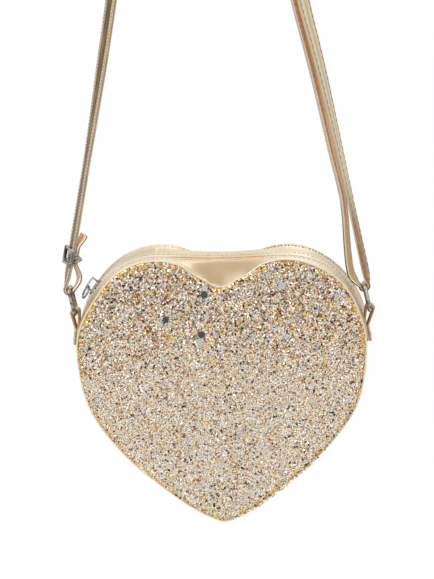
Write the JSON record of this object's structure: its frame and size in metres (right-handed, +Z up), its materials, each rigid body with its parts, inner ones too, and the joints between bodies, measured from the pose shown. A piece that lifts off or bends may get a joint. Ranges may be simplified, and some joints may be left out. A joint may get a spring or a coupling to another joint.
{
  "type": "heart-shaped shoulder purse",
  "caption": "Heart-shaped zip purse with a glitter front, padded rims, metal side rings and a flat adjustable shoulder strap, shown hanging",
  "frame": {"origin": "underside of the strap at the point from which the purse hangs", "axes": "+Z up along the hanging strap, front of the purse towards -Y, +X to the viewer's right"},
  "size_m": [0.1858, 0.056, 0.4442],
  "materials": {
    "glitter": "glitter",
    "coated_cloth": "metallic sheen",
    "piping": "satin",
    "board": "matt",
    "lining": "woven",
    "zip_tape": "woven",
    "zip_teeth": "moulded",
    "nickel": "dark nickel"
  },
  "bodies": {
    "strap": {"shoulder_strap": "coated_cloth", "high_adjuster": "nickel"},
    "low_adjuster": {"low_adjuster": "nickel"},
    "left_ring": {"left_ring": "nickel"},
    "purse": {"front_glitter": "glitter", "front_board": "board", "back_cover": "coated_cloth", "back_board": "board", "front_piping": "piping", "back_piping": "piping", "lower_gusset": "coated_cloth", "zip_panel_front": "coated_cloth", "zip_panel_back": "coated_cloth", "lining_front": "lining", "lining_back": "lining", "lining_gusset": "lining", "lining_top_front": "lining", "lining_top_back": "lining", "zip_tape_front": "zip_tape", "zip_tape_back": "zip_tape", "zip_teeth_front": "zip_teeth", "zip_teeth_back": "zip_teeth", "zip_stop_left": "nickel", "zip_stop_right": "nickel", "left_tab": "coated_cloth", "right_tab": "coated_cloth"},
    "right_ring": {"right_ring": "nickel"},
    "slider": {"zip_slider": "nickel"},
    "pull": {"pull_ring": "nickel"}
  },
  "joints": [
    {"name": "adjuster_slide", "type": "slide", "parent": "strap", "child": "low_adjuster", "axis": [0.1956, 0, 0.9807], "range_m": [-0.002, 0.004]},
    {"name": "ring_swing", "type": "hinge", "parent": "strap", "child": "left_ring", "pos_m": [-0.06663, 0, -0.30372], "axis": [0, 1, 0], "range_deg": [-10, 14]},
    {"name": "purse_level", "type": "hinge", "parent": "left_ring", "child": "purse", "pos_m": [-0.0636, 0, -0.318], "axis": [0, 1, 0], "range_deg": [-14, 10]},
    {"name": "right_ring_swing", "type": "hinge", "parent": "purse", "child": "right_ring", "pos_m": [0.1116, 0, -0.318], "axis": [0, 1, 0], "range_deg": [-10, 14]},
    {"name": "zip_run", "type": "hinge", "parent": "purse", "child": "slider", "pos_m": [-0.015, 0, -0.33], "axis": [0, 1, 0], "range_deg": [0, 46]},
    {"name": "pull_flip", "type": "hinge", "parent": "slider", "child": "pull", "pos_m": [-0.05506, 0, -0.30249], "axis": [-0.2074, 0.9703, 0.1246], "range_deg": [0, 12]}
  ],
  "couplings": [
    {"joint": "purse_level", "follows": "ring_swing", "ratio": -1},
    {"joint": "right_ring_swing", "follows": "ring_swing", "ratio": 1}
  ]
}
